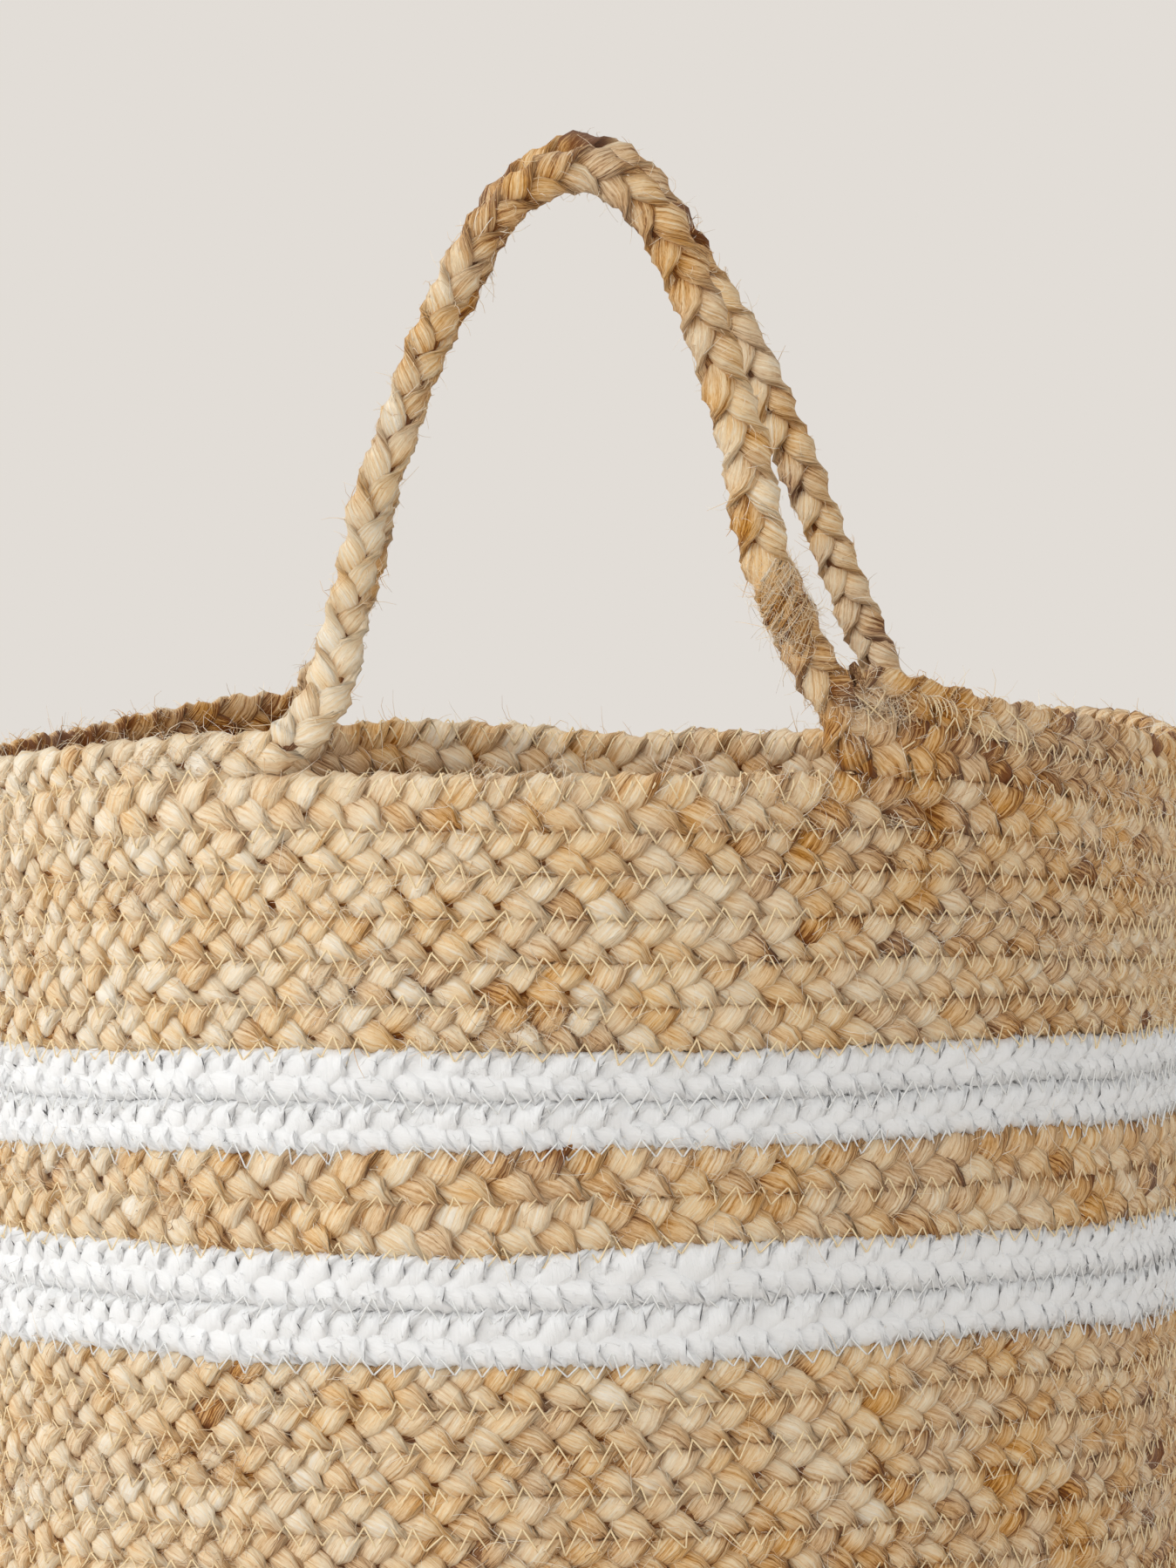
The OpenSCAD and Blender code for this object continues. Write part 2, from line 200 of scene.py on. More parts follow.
def winding(first, last):
    """Guide of the braid through courses first to last: its points, the way its outer
    face looks, its half width, and the degrees wound so far."""
    turns = np.arange(360.0 * first, 360.0 * last + FINE / 2, FINE)
    nearest = np.round(turns / 360.0)
    climb = nearest - 1 + smoothstep((turns - 360.0 * nearest) / (2 * STEP_HALF) + 0.5)
    course = np.where(turns < 360.0 * len(base_nodes), turns / 360.0 - 0.5, climb)
    angle = STEP_ANGLE - turns
    lower = np.clip(np.floor(course).astype(int), 0, len(course_nodes) - 1)
    upper = np.clip(lower + 1, 0, len(course_nodes) - 1)
    share = course - np.floor(course)
    at = np.zeros((4, len(turns)))
    for index in range(len(course_nodes)):
        for which, weight in ((lower, 1 - share), (upper, share)):
            picked = which == index
            if picked.any():
                at[:, picked] += course_at(index, angle[picked]) * weight[picked]
    start = course < 0
    at[0, start] = facts[0][0] + course[start] * 2 * facts[0][2]
    radius, z, tilt, half = at
    radial = outwards(np.radians(angle))
    points = radial * radius[:, None] + UP * z[:, None]
    outward = radial * np.sin(tilt)[:, None] - UP * np.cos(tilt)[:, None]
    return points, outward, half, turns


def unit(v):
    return v / np.linalg.norm(v, axis=-1, keepdims=True)


rng = np.random.default_rng(41)


def wander(s, spacing):
    """Smooth random values from 0 to 1 along the distances s."""
    knots = rng.random(int(s[-1] / spacing) + 3)
    x = s / spacing
    i = x.astype(int)
    f = smoothstep(x - i)
    return knots[i] * (1 - f) + knots[i + 1] * f


def read_line(at, length, values):
    """Points or directions of a line, read off at distances along it."""
    return np.stack([np.interp(at, length, values[:, i]) for i in range(3)], 1)


LOBE_STEPS = 14   # rings of points in one whole period of the braid, which is three lobes


def braid_frames(points, outward, half, mark, pitch):
    """Frames at even steps of the braid's phase: point, the directions along, outwards and
    across, half width, mark and length. pitch is the spacing of the lobes, which varies,
    since the braid is pulled tight by hand."""
    steps = np.linalg.norm(np.diff(points, axis=0), axis=1)
    length = np.concatenate([[0.0], np.cumsum(steps)])
    pitch = pitch * (1 + 0.36 * (wander(length[1:], 0.031) - 0.5))
    lobes = np.concatenate([[0.0], np.cumsum(steps / pitch)])
    periods = max(1, int(round(lobes[-1] / 3)))
    even = np.interp(np.linspace(0.0, lobes[-1], periods * LOBE_STEPS + 1), lobes, length)
    p, o = read_line(even, length, points), read_line(even, length, outward)
    t = unit(np.gradient(p, axis=0))
    o = unit(o - (o * t).sum(1, keepdims=True) * t)
    w = np.cross(t, o)
    phase = 2 * np.pi * np.arange(len(even)) / LOBE_STEPS
    return {"p": p, "t": t, "o": o, "w": w, "half": np.interp(even, length, half),
            "mark": np.interp(even, length, mark), "s": even, "phase": phase}


BROWNED_FOOT = [0.095, -0.173, 0.38]   # the front right foot, where the braid is joined


def strand_rings(braid, strand, rounds=18):
    """Rings of points of the three strands, (4, samples, rounds, 3), with their tone, and a
    place along and round the strand for the fibres. A strand is fullest where it lies on a face
    as a lobe, and pinched where it dives under the next one. The fourth is the heart of the
    braid, which closes the small gaps between the strands; its tone is the darkest, as painted
    shade in those gaps."""
    thick, wide, deep, twist = (strand[k] for k in ("thick", "wide", "deep", "twist"))
    rings, tones, fibres = [], [], []
    around = 2 * np.pi * np.arange(rounds) / rounds
    s = braid["s"]
    for j in range(3):
        phase = braid["phase"] + 2 * np.pi * j / 3
        lobe = np.abs(np.sin(2 * phase))
        swing = braid["half"] + strand["over"] - thick * strand["edge"]
        x = swing * (np.sin(phase) - strand["sharp"] * np.sin(3 * phase))
        x = x + strand["lean"] * np.cos(phase) ** 2
        y = -deep * np.sin(2 * phase)
        x = x + (wander(s, 0.015) - 0.5) * 0.9 * MM
        jitter = (wander(s, 0.017) - 0.5) * 1.0 * MM
        shift = (wander(s, 0.013) - 0.5) * 3.0 * MM
        centre = (braid["p"] + braid["w"] * x[:, None] + braid["o"] * (y + jitter)[:, None]
                  + braid["t"] * shift[:, None])
        run = unit(np.gradient(centre, axis=0))
        turn = -(np.pi / 2) * np.sin(np.pi / 2 * np.cos(phase))
        flat = braid["w"] * np.cos(turn)[:, None] + braid["o"] * np.sin(turn)[:, None]
        flat = unit(flat - (flat * run).sum(1, keepdims=True) * run)
        side = np.cross(run, flat)
        size = (0.9 + 0.24 * wander(s, 0.019)) * braid["half"] / strand["half"]
        profile = np.ones((len(phase), rounds))
        for k in range(rounds):
            profile[:, k] += strand["ridges"] * (2 * wander(s, 0.01) - 1)
        full = 1 + strand["plump"] * (lobe - 0.6)
        boxy = lambda v: np.sign(v) * np.abs(v) ** strand["boxy"]
        out = (thick * size * full)[:, None] * profile * boxy(np.cos(around))
        across = (wide * size * full)[:, None] * profile * boxy(np.sin(around))
        rings.append(centre[:, None] + out[..., None] * flat[:, None]
                     + across[..., None] * side[:, None])
        # The roving changes colour from lobe to lobe and slowly, and a few lobes are dark.
        own = 0.57 + 0.28 * (wander(s, 0.021) - 0.5) + 0.2 * (wander(s, 0.16) - 0.5)
        own -= 0.32 * smoothstep((wander(s, 0.019) - 0.88) / 0.1)
        # Painted shade: the tone darkens where the strand dives under, at its sides and in the
        # grooves between its ridges.
        tone = own[:, None] - strand["shade"] * (
            (1 - lobe)[:, None] + 0.6 * np.abs(np.sin(around)) ** 4 - 1.6 * (profile - 1))
        # Painted light: the colour is paler on the left, where the window light falls, and
        # darker on the right.
        tone = tone - strand["painted_light_and_tint"] * (rings[-1][..., 0] / wall_r)
        depth = -((rings[-1] - braid["p"][:, None]) * braid["o"][:, None]).sum(-1)
        # Hands have browned the foot where the braid ends. The colour is also darker towards the
        # tops of the handles, and the lower courses come from a slightly browner roving.
        joined = rings[-1] - BROWNED_FOOT
        tone = tone - strand["painted_light_and_tint"] * (
            1.2 * np.exp(-(joined ** 2).sum(-1) / (45 * MM) ** 2)
            + 1.0 * smoothstep((rings[-1][..., 2] - 0.47) / 0.06)
            + 0.4 * smoothstep((0.275 - rings[-1][..., 2]) / 0.03))
        # Painted shade: the inside face is darker, and much darker on the left, whose inside
        # faces away from the window.
        left = np.clip(-rings[-1][..., 0] / wall_r, 0, 1)
        tone = tone - (0.1 + 3.6 * left) * strand["painted_light_and_tint"] * smoothstep(depth / (2 * MM))
        tones.append(tone)
        spot = rng.random(3) * 5.0
        turned = around + 2 * np.pi * s[:, None] / twist
        fibres.append(np.stack([
            spot[0] + wide * np.cos(turned), spot[1] + wide * np.sin(turned),
            spot[2] + s[:, None] * 0.05 + 0 * turned], -1))
    core = 0.6 * (braid["half"][:, None] * np.sin(around))[..., None] * braid["w"][:, None]
    core = core + (0.92 * thick * np.cos(around))[:, None] * braid["o"][:, None]
    rings.append(braid["p"][:, None] + core)
    # Painted shade: the heart takes the darkest tone.
    tones.append(0 * tone)
    fibres.append(fibres[0])
    return np.array(rings), np.array(tones), np.array(fibres)


def tubes_on(paths, outward, radius, rounds=4):
    """Rings round many paths of equal length, (paths, stations, 3)."""
    run = unit(np.gradient(paths, axis=1))
    flat = unit(outward - (outward * run).sum(-1, keepdims=True) * run)
    side = np.cross(run, flat)
    a = 2 * np.pi * np.arange(rounds) / rounds
    width = np.broadcast_to(radius, paths.shape[:2])[..., None, None]
    return paths[:, :, None] + width * (np.cos(a)[:, None] * flat[:, :, None]
                                        + np.sin(a)[:, None] * side[:, :, None])


FIBRE_STEPS = 4


def loose_fibres(start, run, out, length, heading, curl, rise, thick, tone):
    """Single fibres that have come out of a strand: tubes with their tone and place. Each
    leaves its start at an angle to the strand, bends, rises a little and lies down again."""
    u = np.linspace(0, 1, FIBRE_STEPS)
    side = np.cross(out, run)
    angle = heading[:, None] + curl[:, None] * u
    climb = rise[:, None] * (1 - 1.4 * u)
    step = (np.cos(angle)[..., None] * run[:, None] + np.sin(angle)[..., None] * side[:, None]
            + climb[..., None] * out[:, None]) * (length / (FIBRE_STEPS - 1))[:, None, None]
    paths = start[:, None] + np.cumsum(step, axis=1) - step[:, :1]
    lean = out[:, None] + 0.3 * side[:, None] + 0 * paths
    rings = tubes_on(paths, lean, thick[:, None] * (1 - 0.6 * u), rounds=3)
    tones = np.broadcast_to(tone[:, None, None], rings.shape[:3])
    spots = np.broadcast_to(rng.random((len(start), 1, 1, 3)) * 5, rings.shape)
    return rings, tones, spots


PER_MAT = 450   # fibres in a matted patch


def strand_fuzz(rings, outward, fuzz):
    """Loose fibres all over a length of braid, and a few matted patches of short curly
    ones. outward is the braid's own face direction at each ring."""
    strands, stations, rounds, _ = rings.shape
    middle = rings.mean(axis=2)
    length = np.linalg.norm(np.diff(middle[0], axis=0), axis=1).sum() / MM
    count = int(length * fuzz["per_mm"])
    mats = int(round(length * fuzz["mats_per_m"] / 1000 + rng.random() * 0.9))
    centres = rng.integers(2, stations - 2, mats)
    i = np.concatenate([rng.integers(1, stations - 1, count), np.clip(
        np.repeat(centres, PER_MAT) + np.round(rng.normal(0, 5, mats * PER_MAT)).astype(int),
        1, stations - 2)])
    j = rng.integers(0, strands - 1, len(i))
    k = rng.integers(0, rounds, len(i))
    matted = np.arange(len(i)) >= count
    own = np.concatenate([np.zeros(count), np.repeat(rng.normal(-0.1, 0.16, mats), PER_MAT)])
    start = rings[j, i, k]
    out = unit(start - middle[j, i])
    seen = (out * outward[i]).sum(1)
    keep = (seen > 0.25) | ((seen < -0.25) & (rng.random(len(i)) < fuzz["inside"]))
    i, j, k, matted, own, start, out = (v[keep] for v in (i, j, k, matted, own, start, out))
    run = unit(rings[j, i + 1, k] - rings[j, i, k])
    out = unit(out - (out * run).sum(1, keepdims=True) * run)
    n = len(i)
    wild = rng.random(n) < fuzz["wild"]
    long = rng.lognormal(np.log(fuzz["length"]), 0.45, n) * np.where(matted | wild, 0.55, 1.0)
    long = np.minimum(long, 1.7 * fuzz["length"])
    rise = np.where(wild, rng.uniform(0.3, 1.0, n), rng.uniform(0.05, 0.35, n))
    rise = np.where(matted, rng.uniform(0.3, 1.1, n), rise)
    curl = rng.normal(0, 1, n) * np.where(matted | wild, 3.0, 1.0)
    heading = rng.normal(0, 1, n) * np.where(matted, 2.0, 0.6) + np.pi * (rng.random(n) < 0.5)
    tone = rng.uniform(*fuzz["tone"], n) + own
    thick = rng.uniform(0.09, 0.16, n) * MM
    return loose_fibres(start - out * 0.15 * MM, run, out, long, heading, curl, rise, thick,
                        tone)


def tube_mesh(name, *bundles):
    """One mesh of closed tubes. A bundle is rings of points, (tubes, rings, points round,
    3), with the tone and the fibres' place there. Each tube is cut into lengths, which
    lie side by side on the map that a bake uses. A second bundle gets the top of it."""
    co, tones, fibres, loops, sizes, maps = [], [], [], [], [], []
    start = 0
    shares = [1.0] if len(bundles) == 1 else [0.8, 0.2]
    floor_v = 0.0
    for (rings, tone, fibre), band in zip(bundles, shares):
        tubes, stations, rounds, _ = rings.shape
        m, i, k = np.meshgrid(np.arange(tubes), np.arange(stations - 1), np.arange(rounds),
                              indexing="ij")
        at = lambda ring, point: start + (m * stations + ring) * rounds + point % rounds
        quads = np.stack([at(i, k), at(i, k + 1), at(i + 1, k + 1), at(i + 1, k)], -1)
        first = start + (np.arange(tubes) * stations * rounds)[:, None]
        caps = np.concatenate([first + np.arange(rounds)[::-1],
                               first + (stations - 1) * rounds + np.arange(rounds)])
        loops += [quads.ravel(), caps.ravel()]
        sizes += [np.full(m.size, 4), np.full(2 * tubes, rounds)]
        middle = rings[0].mean(axis=1)
        long = np.linalg.norm(np.diff(middle, axis=0), axis=1).sum()
        girth = rounds * np.linalg.norm(rings[0, :, 0] - rings[0, :, 1], axis=1).mean()
        cuts = max(1, round(float(np.sqrt(long / (tubes * girth)))))
        columns = max(1, round(float(np.sqrt(tubes * girth / long))))
        chunk = -(-(stations - 1) // cuts)
        block = m * cuts + i // chunk
        rows = -(-tubes * cuts // columns)
        u = lambda di: (block % columns + 0.03 + 0.94 * (i % chunk + di) / chunk) / columns
        v = lambda dk: floor_v + band * (
            block // columns + 0.05 + 0.9 * (k + dk) / rounds) / rows
        maps += [np.stack([u(0), v(0), u(0), v(1), u(1), v(1), u(1), v(0)], -1).ravel(),
                 np.full(2 * caps.size, floor_v + 0.5 * band)]
        floor_v += band
        start += tubes * stations * rounds
        co.append(rings.reshape(-1))
        tones.append(np.ravel(tone))
        fibres.append(np.ravel(fibre))
    loops, sizes = np.concatenate(loops), np.concatenate(sizes)
    mesh = bpy.data.meshes.new(name)
    mesh.vertices.add(start)
    mesh.vertices.foreach_set("co", np.concatenate(co).astype(np.float32))
    mesh.loops.add(len(loops))
    mesh.loops.foreach_set("vertex_index", loops.astype(np.int32))
    mesh.polygons.add(len(sizes))
    mesh.polygons.foreach_set("loop_start",
                              np.concatenate([[0], np.cumsum(sizes)[:-1]]).astype(np.int32))
    mesh.uv_layers.new(name="OFBake", do_init=False).uv.foreach_set(
        "vector", np.concatenate(maps).astype(np.float32))
    mesh.attributes.new("tone", "FLOAT", "POINT").data.foreach_set(
        "value", np.concatenate(tones).astype(np.float32))
    mesh.attributes.new("fibre", "FLOAT_VECTOR", "POINT").data.foreach_set(
        "vector", np.concatenate(fibres).astype(np.float32))
    mesh.update(calc_edges=True)
    mesh.shade_smooth()
    piece = bpy.data.objects.new(name, mesh)
    bpy.context.scene.collection.objects.link(piece)
    return piece


def linear(colour):
    """An sRGB hex colour as linear RGBA."""
    values = [int(colour[i:i + 2], 16) / 255 for i in (1, 3, 5)]
    return [v / 12.92 if v <= 0.04045 else ((v + 0.055) / 1.055) ** 2.4
            for v in values] + [1.0]


def node(tree, kind, links=(), **settings):
    """Adds a node with its settings. links maps a socket to a value or to an output."""
    made = tree.nodes.new(kind)
    for key, value in settings.items():
        setattr(made, key, value)
    for socket, value in dict(links).items():
        if isinstance(value, bpy.types.NodeSocket):
            tree.links.new(value, made.inputs[socket])
        else:
            made.inputs[socket].default_value = value
    return made


def roving(name, stops, fibre, streaks, bump_mm, golden, soft):
    """A loose untwisted roving: matt, its colour changing from lobe to lobe and drawn out
    in fine streaks along the strand. fibre is the width of a streak; single fibres are
    finer than can be seen, so it stands for a few that lie together. golden is how much
    richer some areas are than others, and soft the sheen of the fuzz on its surface."""
    material = bpy.data.materials.new(name)
    material.use_nodes = True
    tree = material.node_tree
    shader = tree.nodes["Principled BSDF"]
    place = node(tree, "ShaderNodeAttribute", attribute_name="fibre").outputs["Vector"]
    tone = node(tree, "ShaderNodeAttribute", attribute_name="tone").outputs["Fac"]
    streak = node(tree, "ShaderNodeTexNoise", {
        "Vector": place, "Scale": 0.5 / fibre, "Detail": 4.0,
        "Roughness": 0.75}).outputs["Fac"]
    patch = node(tree, "ShaderNodeTexNoise", {
        "Vector": place, "Scale": 0.5 / (6 * fibre), "Detail": 2.0}).outputs["Fac"]
    mottle = node(tree, "ShaderNodeMath", {0: patch, 1: streaks * 0.3, 2: tone},
                  operation="MULTIPLY_ADD").outputs[0]
    shade = node(tree, "ShaderNodeMath", {0: streak, 1: streaks, 2: mottle},
                 operation="MULTIPLY_ADD").outputs[0]
    centred = node(tree, "ShaderNodeMath", {0: shade, 1: streaks * 0.65},
                   operation="SUBTRACT").outputs[0]
    ramp = node(tree, "ShaderNodeValToRGB", {"Fac": centred})
    while len(ramp.color_ramp.elements) < len(stops):
        ramp.color_ramp.elements.new(0.5)
    for element, (spot, colour) in zip(ramp.color_ramp.elements, stops):
        element.position = spot
        element.color = linear(colour)
    where = node(tree, "ShaderNodeTexCoord").outputs["Object"]
    area = node(tree, "ShaderNodeTexNoise", {
        "Vector": where, "Scale": 1 / (22 * MM), "Detail": 2.0}).outputs["Fac"]
    richer = node(tree, "ShaderNodeMapRange", {
        "Value": area, "From Min": 0.38, "From Max": 0.68, "To Min": 1 - golden,
        "To Max": 1 + 1.6 * golden}).outputs["Result"]
    warmer = node(tree, "ShaderNodeMapRange", {
        "Value": area, "From Min": 0.38, "From Max": 0.68, "To Min": 0.503,
        "To Max": 0.503 - 0.04 * golden}).outputs["Result"]
    colour = node(tree, "ShaderNodeHueSaturation", {
        "Color": ramp.outputs["Color"], "Saturation": richer, "Hue": warmer}).outputs["Color"]
    bump = node(tree, "ShaderNodeBump", {
        "Height": streak, "Strength": 1.0, "Distance": bump_mm * MM})
    tree.links.new(colour, shader.inputs["Base Color"])
    tree.links.new(bump.outputs["Normal"], shader.inputs["Normal"])
    shader.inputs["Roughness"].default_value = 0.8
    shader.inputs["Specular IOR Level"].default_value = 0.25
    shader.inputs["Sheen Weight"].default_value = soft
    return material


# The ramp's darkest stop is the painted shade of the crevices and the braid's heart, and also
# the colour of the few dark lobes.
raw_jute = roving("Raw jute roving, hand braided", [
    (0.0, "#7d4a22"), (0.2, "#d09f68"), (0.42, "#eeca9c"), (0.62, "#f8dfb9"),
    (1.0, "#fef4e3")], fibre=0.38 * MM, streaks=1.8, bump_mm=0.9, golden=0.12, soft=0.12)


def hold(piece, name):
    """Fixes a piece to the basket, or for a handle's piece bakes its placing into its mesh."""
    if "handle" in name:
        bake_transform(piece)
    else:
        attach(piece, BODY)


def braid_pieces(braid, ends, nodes, material, strand, fuzz):
    """Cuts a braid at the given marks and makes one piece for each course. nodes lists the
    CAD nodes that each stands for, with the one that it is named after first."""
    rings, tones, fibres = strand_rings(braid, strand)
    rings[..., 2] = np.maximum(rings[..., 2], 0.0)
    cuts = [int(np.argmin(np.abs(braid["mark"] - e))) for e in ends]
    pieces = []
    for replaced, low, high in zip(nodes, cuts[:-1], cuts[1:]):
        name = replaced[0] + "_braid"
        part = slice(low, high + 1)
        loose = (handle_fuzz if "handle" in name else base_fuzz if "base" in name
                 else rim_fuzz if "rim" in name or "side" in name else fuzz)
        hairs = strand_fuzz(rings[:, part], braid["o"][part], loose)
        hairs[0][..., 2] = np.maximum(hairs[0][..., 2], 0.0)
        piece = tube_mesh(name, (rings[:, part], tones[:, part], fibres[:, part]), hairs)
        piece.data.materials.append(material)
        hold(piece, replaced[0])
        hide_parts(*replaced)
        pieces.append(piece)
    return pieces


JUTE_PITCH = 12.6 * MM
JUTE_HALF = 6.25 * MM   # half the width of the braid
# thick and wide are a strand's half sizes where the braid's half width is half. Its middle
# swings out and in by deep, and stays edge times thick inside the braid's edge, plus over.
# sharp, plump, ridges and boxy shape the lobes, and lean lifts them. One turn of its fibres is
# twist long. shade is painted shade: how much its colour darkens where it dives under, at its
# sides and in the grooves between its ridges. painted_light_and_tint sets painted light and
# shade, paler on the left and darker on the inside face, and also how much darker the joined
# foot, the handle tops and the lower courses are.
jute_strand = {"thick": 2.05 * MM, "wide": 4.3 * MM, "deep": 1.55 * MM, "edge": 0.92,
               "sharp": 0.04, "plump": 0.2, "ridges": 0.11, "twist": 75 * MM,
               "lean": 0.7 * MM, "over": 0.05 * MM, "half": JUTE_HALF, "shade": 0.17,
               "boxy": 0.8, "painted_light_and_tint": 0.16}
# The wild share of the loose fibres is short, curls and stands up. inside is the share
# that the inner face keeps, and tone is the range of their colour from dark to pale.
jute_fuzz = {"per_mm": 2.3, "length": 8 * MM, "wild": 0.12, "inside": 0.3,
             "mats_per_m": 4.0, "tone": (0.35, 1.1)}
handle_fuzz = dict(jute_fuzz, per_mm=2.5, length=6 * MM, inside=1.0, mats_per_m=3.0)
rim_fuzz = dict(jute_fuzz, per_mm=4.0, wild=0.25, inside=0.6, mats_per_m=12.0)
base_fuzz = dict(jute_fuzz, per_mm=0.2, mats_per_m=0.5, wild=0.0)

CENTRE_TURNS = 0.6   # the curl in the middle of the base, before the first whole round
lower_braid = braid_frames(*winding(-CENTRE_TURNS, LOWER_WHITE), JUTE_PITCH)
braid_pieces(lower_braid, [-CENTRE_TURNS * 360] + [360.0 * i for i in range(LOWER_WHITE + 1)],
             [["base_centre"]] + [[name] for name in course_nodes[:LOWER_WHITE]], raw_jute,
             jute_strand, jute_fuzz)

# ---------------------------------------------------------------------------------------
# White bands. Two turns each of a plump, loosely spun white cotton braid, plied from
# several soft yarns, so that fine slanting lines show on its lobes.

white_cotton = roving("White cotton roving, hand braided", [
    (0.0, "#f2f2f1"), (0.3, "#f2f2f2"), (0.55, "#f6f6f6"), (0.8, "#f8f8f8"),
    (1.0, "#fafafa")], fibre=0.5 * MM, streaks=1.1, bump_mm=0.4, golden=0.0, soft=0.5)
COTTON_PITCH = 8.6 * MM   # its lobes lie closer together than those of the jute
cotton_strand = {"thick": 2.9 * MM, "wide": 4.7 * MM, "deep": 0.5 * MM, "edge": 1.0,
                 "sharp": 0.04, "plump": 0.1, "ridges": 0.12, "twist": 26 * MM, "lean": 0.0,
                 "over": 0.2 * MM, "half": 7.0 * MM, "shade": 0.05, "boxy": 0.9,
                 "painted_light_and_tint": 0.0}
cotton_fuzz = {"per_mm": 6.0, "length": 4.2 * MM, "wild": 0.15, "inside": 0.4,
               "mats_per_m": 0.0, "tone": (0.5, 1.0)}
for first in (LOWER_WHITE, UPPER_WHITE):
    band = braid_frames(*winding(first, first + 2), COTTON_PITCH)
    braid_pieces(band, [360.0 * (first + i) for i in range(3)],
                 [[name] for name in course_nodes[first:first + 2]], white_cotton,
                 cotton_strand, cotton_fuzz)

# ---------------------------------------------------------------------------------------
# Jute between the bands. Two turns of a slightly wider braid of the same raw jute.

middle = braid_frames(*winding(MIDDLE_JUTE, UPPER_WHITE), JUTE_PITCH)
braid_pieces(middle, [360.0 * (MIDDLE_JUTE + i) for i in range(3)],
             [[name] for name in course_nodes[MIDDLE_JUTE:UPPER_WHITE]], raw_jute,
             dict(jute_strand, wide=4.8 * MM), jute_fuzz)

# ---------------------------------------------------------------------------------------
# Upper wall and handles. Jute again up to the rim, and on without a cut: at the front
# right foot the braid turns up on its edge, arches over as the front handle, comes down
# and lies along the left side, arches over again at the back, and ends on the right side.

FOOT_TURN = np.radians(63)   # the legs lean over, so the turn up is less than square

joints = {j["name"]: j for j in frame["joints"]}
gap_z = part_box("gap_rim_course")[1].z
foot_z = gap_z + JUTE_HALF


def handle_frame(name, posts):
    """Origin on the flex line, the directions along it and outwards, and half the span."""
    joint = joints[name]
    origin = np.array(joint["pos_m"], float)
    along = unit(np.array(joint["axis"], float))
    outward = -np.cross(UP, along)
    local = (node_points(posts) - origin) @ along
    half_span = (local[local > 0].min() + local[local > 0].max()) / 2
    return origin, along, outward, half_span


def foot_bend(foot, rising):
    """The braid's turn between the rim and a handle's leg, round the wall."""
    _, degrees, radius = foot
    a = FOOT_TURN * np.linspace(0, 1, 22)
    back = radius * (np.sin(FOOT_TURN) - np.sin(a)) / wall_r
    radial = outwards(np.radians(degrees) + (back if rising else -back))
    points = radial * wall_r + UP * (foot_z + radius * (1 - np.cos(a)))[:, None]
    return (points, radial) if rising else (points[::-1], radial[::-1])


def catmull(knots, count=12):
    """Smooth curve through the knots."""
    k = np.array(knots, float)
    a = np.vstack([2 * k[0] - k[1], k, 2 * k[-1] - k[-2]])
    t = np.linspace(0, 1, count, endpoint=False)[:, None]
    curve = []
    for i in range(1, len(a) - 2):
        p0, p1, p2, p3 = a[i - 1:i + 3]
        curve.append(p1 + t * (p2 - p0) / 2 + t ** 2 * (2 * p0 - 5 * p1 + 4 * p2 - p3) / 2
                     + t ** 3 * (3 * p1 - p0 - 3 * p2 + p3) / 2)
    return np.vstack(curve + [a[-2:-1]])


def side_run(name, start, end, level, seams):
    """The braid lying along a side between two angles, clockwise: the middle of the named
    course, raised by level, and out of true by as much as the mean of two seams."""
    angle = np.arange(start, end, -FINE)
    stations, low, high = edge_lines(name)
    wrapped = angle if name.startswith("left") else (angle + 180) % 360 - 180
    if name.startswith("left"):
        stations = stations % 360
        order = np.argsort(stations)
        stations, low, high = stations[order], low[order], high[order]
    z = (np.interp(wrapped, stations, low) + np.interp(wrapped, stations, high)) / 2
    z = z + level(angle) if level else z
    z = z + (waver(seams[0], angle) + waver(seams[1], angle)) / 2
    radial = outwards(np.radians(angle))
    return radial * wall_r + UP * z[:, None], radial


front = handle_frame("front_handle_fold", "front_turned_ends")
rear = handle_frame("rear_handle_fold", "rear_turned_ends")
# Knots of each handle's middle line: along and up from its flex line, in millimetres.
FRONT_ARCH = [(-72.8, 10), (-69, 27), (-65, 45), (-60, 66), (-54, 82), (-46.5, 105),
              (-36.5, 127.5), (-25, 147), (-10, 159.5), (5, 162), (20, 152.5), (32, 132.5),
              (42, 105), (50, 79), (56, 48), (65, 27), (71.5, 14), (79, 2)]
REAR_ARCH = [(-97, 2), (-88, 22), (-77, 50), (-65, 80), (-52, 109), (-34, 138.5), (-17, 165.5),
             (-2, 176), (13, 175.5), (30, 161.5), (46, 132.5), (61, 101), (71, 72), (76, 50),
             (82, 26), (88, 10)]


def foot_of(handle, side, shift, radius):
    """Place and angle of a foot, moved out by shift, and the radius of its turn."""
    origin, along, _, half_span = handle
    spot = origin + along * (half_span + shift) * side
    spot = spot * (wall_r / np.hypot(spot[0], spot[1]))
    degrees = np.degrees(np.arctan2(spot[1], spot[0]))
    top = foot_z + radius * (1 - np.cos(FOOT_TURN))
    return np.array([spot[0], spot[1], top]), degrees, radius


def reach(foot):
    """Degrees round the basket from the foot to where its turn meets the rim."""
    return np.degrees(foot[2] * np.sin(FOOT_TURN) / wall_r)


